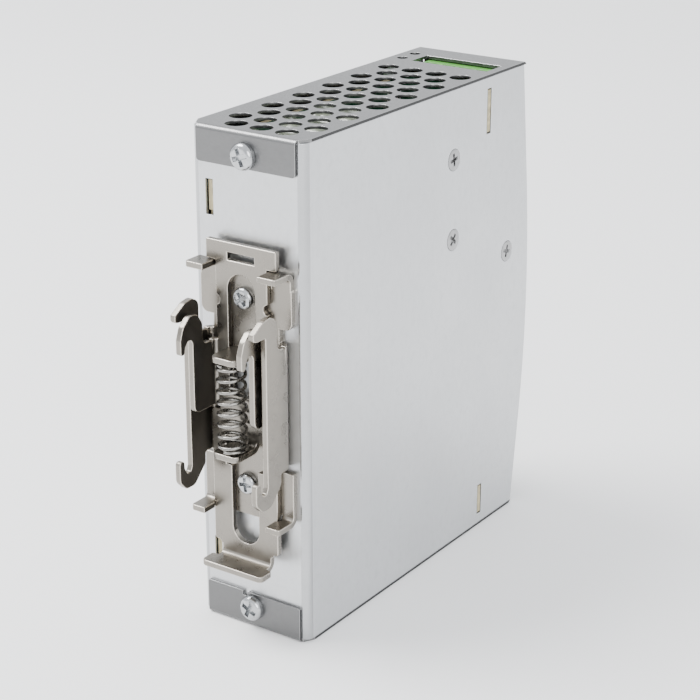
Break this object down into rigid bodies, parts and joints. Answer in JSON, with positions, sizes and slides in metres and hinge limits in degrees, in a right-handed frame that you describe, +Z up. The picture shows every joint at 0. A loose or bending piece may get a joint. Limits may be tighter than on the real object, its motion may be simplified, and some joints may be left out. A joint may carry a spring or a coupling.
{
  "type": "din rail power supply",
  "caption": "Slim sheet-metal power supply module with perforated top, recessed screw terminals and a sprung clip that snaps onto a 35 mm mounting rail.",
  "frame": {"origin": "middle of the underside of the whole part's box, so the case stands on z = 0", "axes": "+Z up along the case, -Y towards the mounting rail, +Y towards the terminals and the front, +X to the right seen from the rail side"},
  "size_m": [0.032, 0.1176, 0.1252],
  "materials": {
    "case_sheet": "satin",
    "cover_sheet": "satin",
    "plated_screw": "bright zinc",
    "clip_steel": "nickel plated",
    "spring_wire": "bright",
    "circuit_board": "solder mask",
    "nylon": "natural",
    "film": "translucent white",
    "tinned_pin": "tinned",
    "terminal_green": "moulded",
    "terminal_metal": "zinc plated",
    "sink_aluminium": "mill",
    "moulded_black": "moulded",
    "heat_pad": "matt",
    "capacitor_sleeve": "shrunk sleeve",
    "ferrite": "fired",
    "yellow_tape": "taped",
    "copper_winding": "enamelled",
    "green_winding": "enamelled",
    "ceramic_blue": "dipped",
    "ceramic_green": "dipped",
    "white_plastic": "moulded",
    "fuse_body": "ceramic",
    "lamp_green": "tinted",
    "clear_guide": "clear"
  },
  "bodies": {
    "power_supply": {"board_standoffs": "nylon", "bridge_rectifier": "moulded_black", "bulk_capacitor": "capacitor_sleeve", "case_shell": "case_sheet", "choke_core": "ferrite", "choke_windings": "copper_winding", "clip_bracket": "clip_steel", "clip_screws": "plated_screw", "control_chip": "moulded_black", "cover": "cover_sheet", "flange_screws": "plated_screw", "fuse": "fuse_body", "indicator_led": "lamp_green", "input_board": "circuit_board", "input_contacts": "tinned_pin", "input_heat_sink": "sink_aluminium", "input_terminal_block": "terminal_green", "inrush_limiter": "ceramic_green", "insulating_sheet": "film", "latch_spring": "spring_wire", "light_guide": "clear_guide", "link_pins": "tinned_pin", "main_board": "circuit_board", "optocoupler": "white_plastic", "output_board": "circuit_board", "output_capacitors": "capacitor_sleeve", "output_choke": "green_winding", "output_contacts": "tinned_pin", "output_heat_sink": "sink_aluminium", "output_rectifier": "moulded_black", "output_terminal_block": "terminal_green", "package_pads": "heat_pad", "package_screws": "plated_screw", "side_screws": "plated_screw", "surge_absorber": "ceramic_blue", "switching_transistor": "moulded_black", "transformer_core": "ferrite", "transformer_winding": "yellow_tape", "trimmer_body": "ceramic_blue", "x_capacitor": "yellow_tape", "y_capacitors": "ceramic_blue"},
    "latch": {"latch_slide": "clip_steel"},
    "output_screw_1": {"output_screw_1": "terminal_metal"},
    "output_clamp_1": {"output_clamp_1": "terminal_metal"},
    "output_screw_2": {"output_screw_2": "terminal_metal"},
    "output_clamp_2": {"output_clamp_2": "terminal_metal"},
    "output_screw_3": {"output_screw_3": "terminal_metal"},
    "output_clamp_3": {"output_clamp_3": "terminal_metal"},
    "output_screw_4": {"output_screw_4": "terminal_metal"},
    "output_clamp_4": {"output_clamp_4": "terminal_metal"},
    "input_screw_1": {"input_screw_1": "terminal_metal"},
    "input_clamp_1": {"input_clamp_1": "terminal_metal"},
    "input_screw_2": {"input_screw_2": "terminal_metal"},
    "input_clamp_2": {"input_clamp_2": "terminal_metal"},
    "input_screw_3": {"input_screw_3": "terminal_metal"},
    "input_clamp_3": {"input_clamp_3": "terminal_metal"},
    "trimmer_rotor": {"trimmer_rotor": "white_plastic"}
  },
  "joints": [
    {"name": "latch_travel", "type": "slide", "parent": "power_supply", "child": "latch", "axis": [0, 0, 1], "range_m": [0, 0.0095], "stiffness_N_per_m": 600, "springref_m": -0.008, "deforming": ["latch_spring"]},
    {"name": "output_screw_1_turn", "type": "hinge", "parent": "power_supply", "child": "output_screw_1", "pos_m": [-0.00556, 0.0468, 0.117], "axis": [0, -1, 0], "range_deg": [0, 1728]},
    {"name": "output_clamp_1_rise", "type": "slide", "parent": "power_supply", "child": "output_clamp_1", "axis": [0, 1, 0], "range_m": [0, 0.0024]},
    {"name": "output_screw_2_turn", "type": "hinge", "parent": "power_supply", "child": "output_screw_2", "pos_m": [-0.00048, 0.0468, 0.117], "axis": [0, -1, 0], "range_deg": [0, 1728]},
    {"name": "output_clamp_2_rise", "type": "slide", "parent": "power_supply", "child": "output_clamp_2", "axis": [0, 1, 0], "range_m": [0, 0.0024]},
    {"name": "output_screw_3_turn", "type": "hinge", "parent": "power_supply", "child": "output_screw_3", "pos_m": [0.0046, 0.0468, 0.117], "axis": [0, -1, 0], "range_deg": [0, 1728]},
    {"name": "output_clamp_3_rise", "type": "slide", "parent": "power_supply", "child": "output_clamp_3", "axis": [0, 1, 0], "range_m": [0, 0.0024]},
    {"name": "output_screw_4_turn", "type": "hinge", "parent": "power_supply", "child": "output_screw_4", "pos_m": [0.00968, 0.0468, 0.117], "axis": [0, -1, 0], "range_deg": [0, 1728]},
    {"name": "output_clamp_4_rise", "type": "slide", "parent": "power_supply", "child": "output_clamp_4", "axis": [0, 1, 0], "range_m": [0, 0.0024]},
    {"name": "input_screw_1_turn", "type": "hinge", "parent": "power_supply", "child": "input_screw_1", "pos_m": [-0.00556, 0.0468, 0.0082], "axis": [0, -1, 0], "range_deg": [0, 1728]},
    {"name": "input_clamp_1_rise", "type": "slide", "parent": "power_supply", "child": "input_clamp_1", "axis": [0, 1, 0], "range_m": [0, 0.0024]},
    {"name": "input_screw_2_turn", "type": "hinge", "parent": "power_supply", "child": "input_screw_2", "pos_m": [-0.00048, 0.0468, 0.0082], "axis": [0, -1, 0], "range_deg": [0, 1728]},
    {"name": "input_clamp_2_rise", "type": "slide", "parent": "power_supply", "child": "input_clamp_2", "axis": [0, 1, 0], "range_m": [0, 0.0024]},
    {"name": "input_screw_3_turn", "type": "hinge", "parent": "power_supply", "child": "input_screw_3", "pos_m": [0.0046, 0.0468, 0.0082], "axis": [0, -1, 0], "range_deg": [0, 1728]},
    {"name": "input_clamp_3_rise", "type": "slide", "parent": "power_supply", "child": "input_clamp_3", "axis": [0, 1, 0], "range_m": [0, 0.0024]},
    {"name": "trimmer_turn", "type": "hinge", "parent": "power_supply", "child": "trimmer_rotor", "pos_m": [0.009, 0.0408, 0.1026], "axis": [0, -1, 0], "range_deg": [-135, 135]}
  ],
  "couplings": [
    {"joint": "output_screw_1_turn", "follows": "output_clamp_1_rise", "rad_per_m": 12566},
    {"joint": "output_screw_2_turn", "follows": "output_clamp_2_rise", "rad_per_m": 12566},
    {"joint": "output_screw_3_turn", "follows": "output_clamp_3_rise", "rad_per_m": 12566},
    {"joint": "output_screw_4_turn", "follows": "output_clamp_4_rise", "rad_per_m": 12566},
    {"joint": "input_screw_1_turn", "follows": "input_clamp_1_rise", "rad_per_m": 12566},
    {"joint": "input_screw_2_turn", "follows": "input_clamp_2_rise", "rad_per_m": 12566},
    {"joint": "input_screw_3_turn", "follows": "input_clamp_3_rise", "rad_per_m": 12566}
  ]
}
